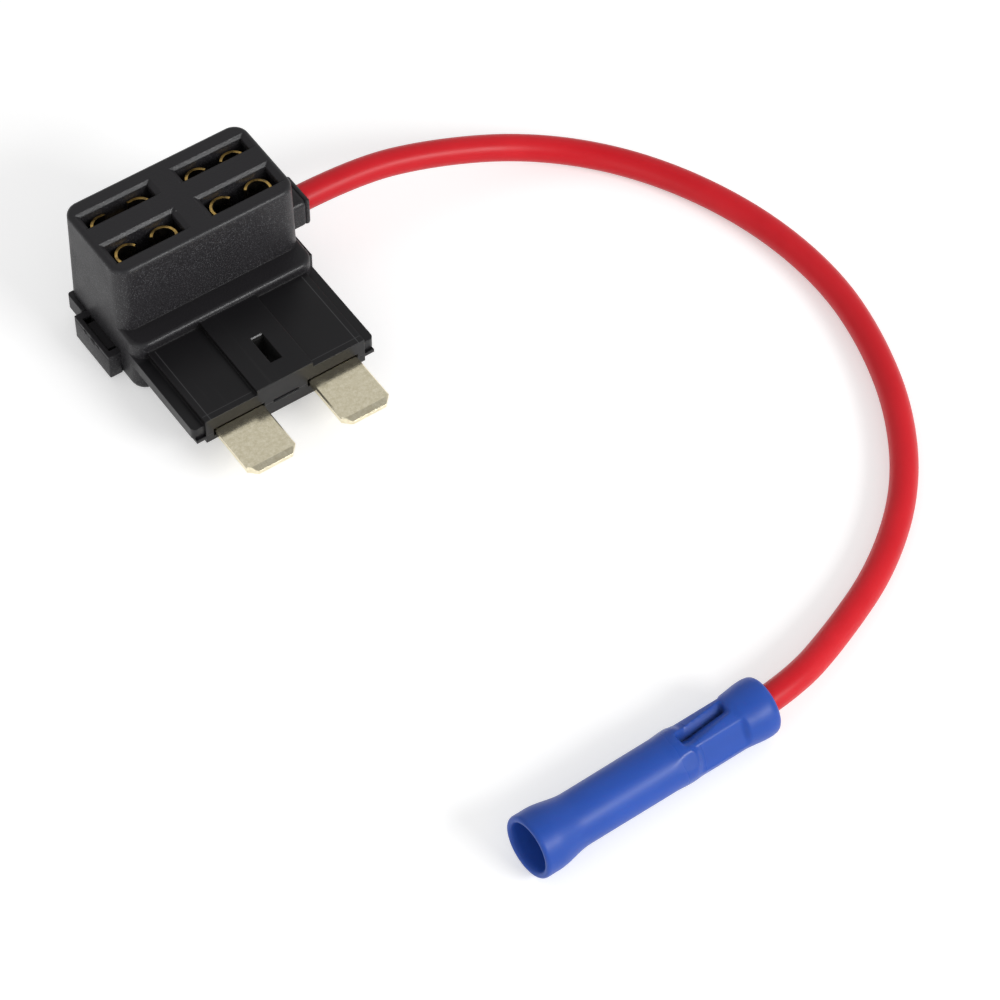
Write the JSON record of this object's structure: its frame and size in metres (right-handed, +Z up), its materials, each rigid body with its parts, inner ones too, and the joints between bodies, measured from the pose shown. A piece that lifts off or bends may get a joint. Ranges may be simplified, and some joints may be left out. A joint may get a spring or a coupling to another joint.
{
  "type": "blade fuse tap",
  "caption": "Right-angle blade fuse tap with fuse slots in its top, flat tap blades at its front and a short insulated lead that ends in a crimped butt connector.",
  "frame": {"origin": "on the surface that the tap lies on, under the middle of the tap without its lead", "axes": "+Z up, out of the fuse slots; -Y along the tap blades, towards their tips; +X towards the side where the lead leaves"},
  "size_m": [0.0613, 0.0759, 0.0141],
  "materials": {
    "housing": "black moulded nylon with a fine texture",
    "tinned_blade": "tinned brass sheet, satin",
    "contact": "bare brass sheet",
    "strands": "bare copper strands",
    "insulation": "red vinyl insulation, satin",
    "sleeve": "blue nylon, satin",
    "tinned_barrel": "tinned copper"
  },
  "bodies": {
    "root": {"upper_housing": "housing", "back_cover": "housing", "supply_blade": "tinned_blade", "load_blade": "tinned_blade", "contact_front_left": "contact", "contact_front_right": "contact", "contact_back_left": "contact", "lead_terminal": "contact", "strands_in_crimp": "strands", "lead_in_boss": "insulation", "lead": "insulation", "connector_sleeve": "sleeve", "connector_barrel": "tinned_barrel", "strands_in_barrel": "strands"}
  },
  "joints": []
}
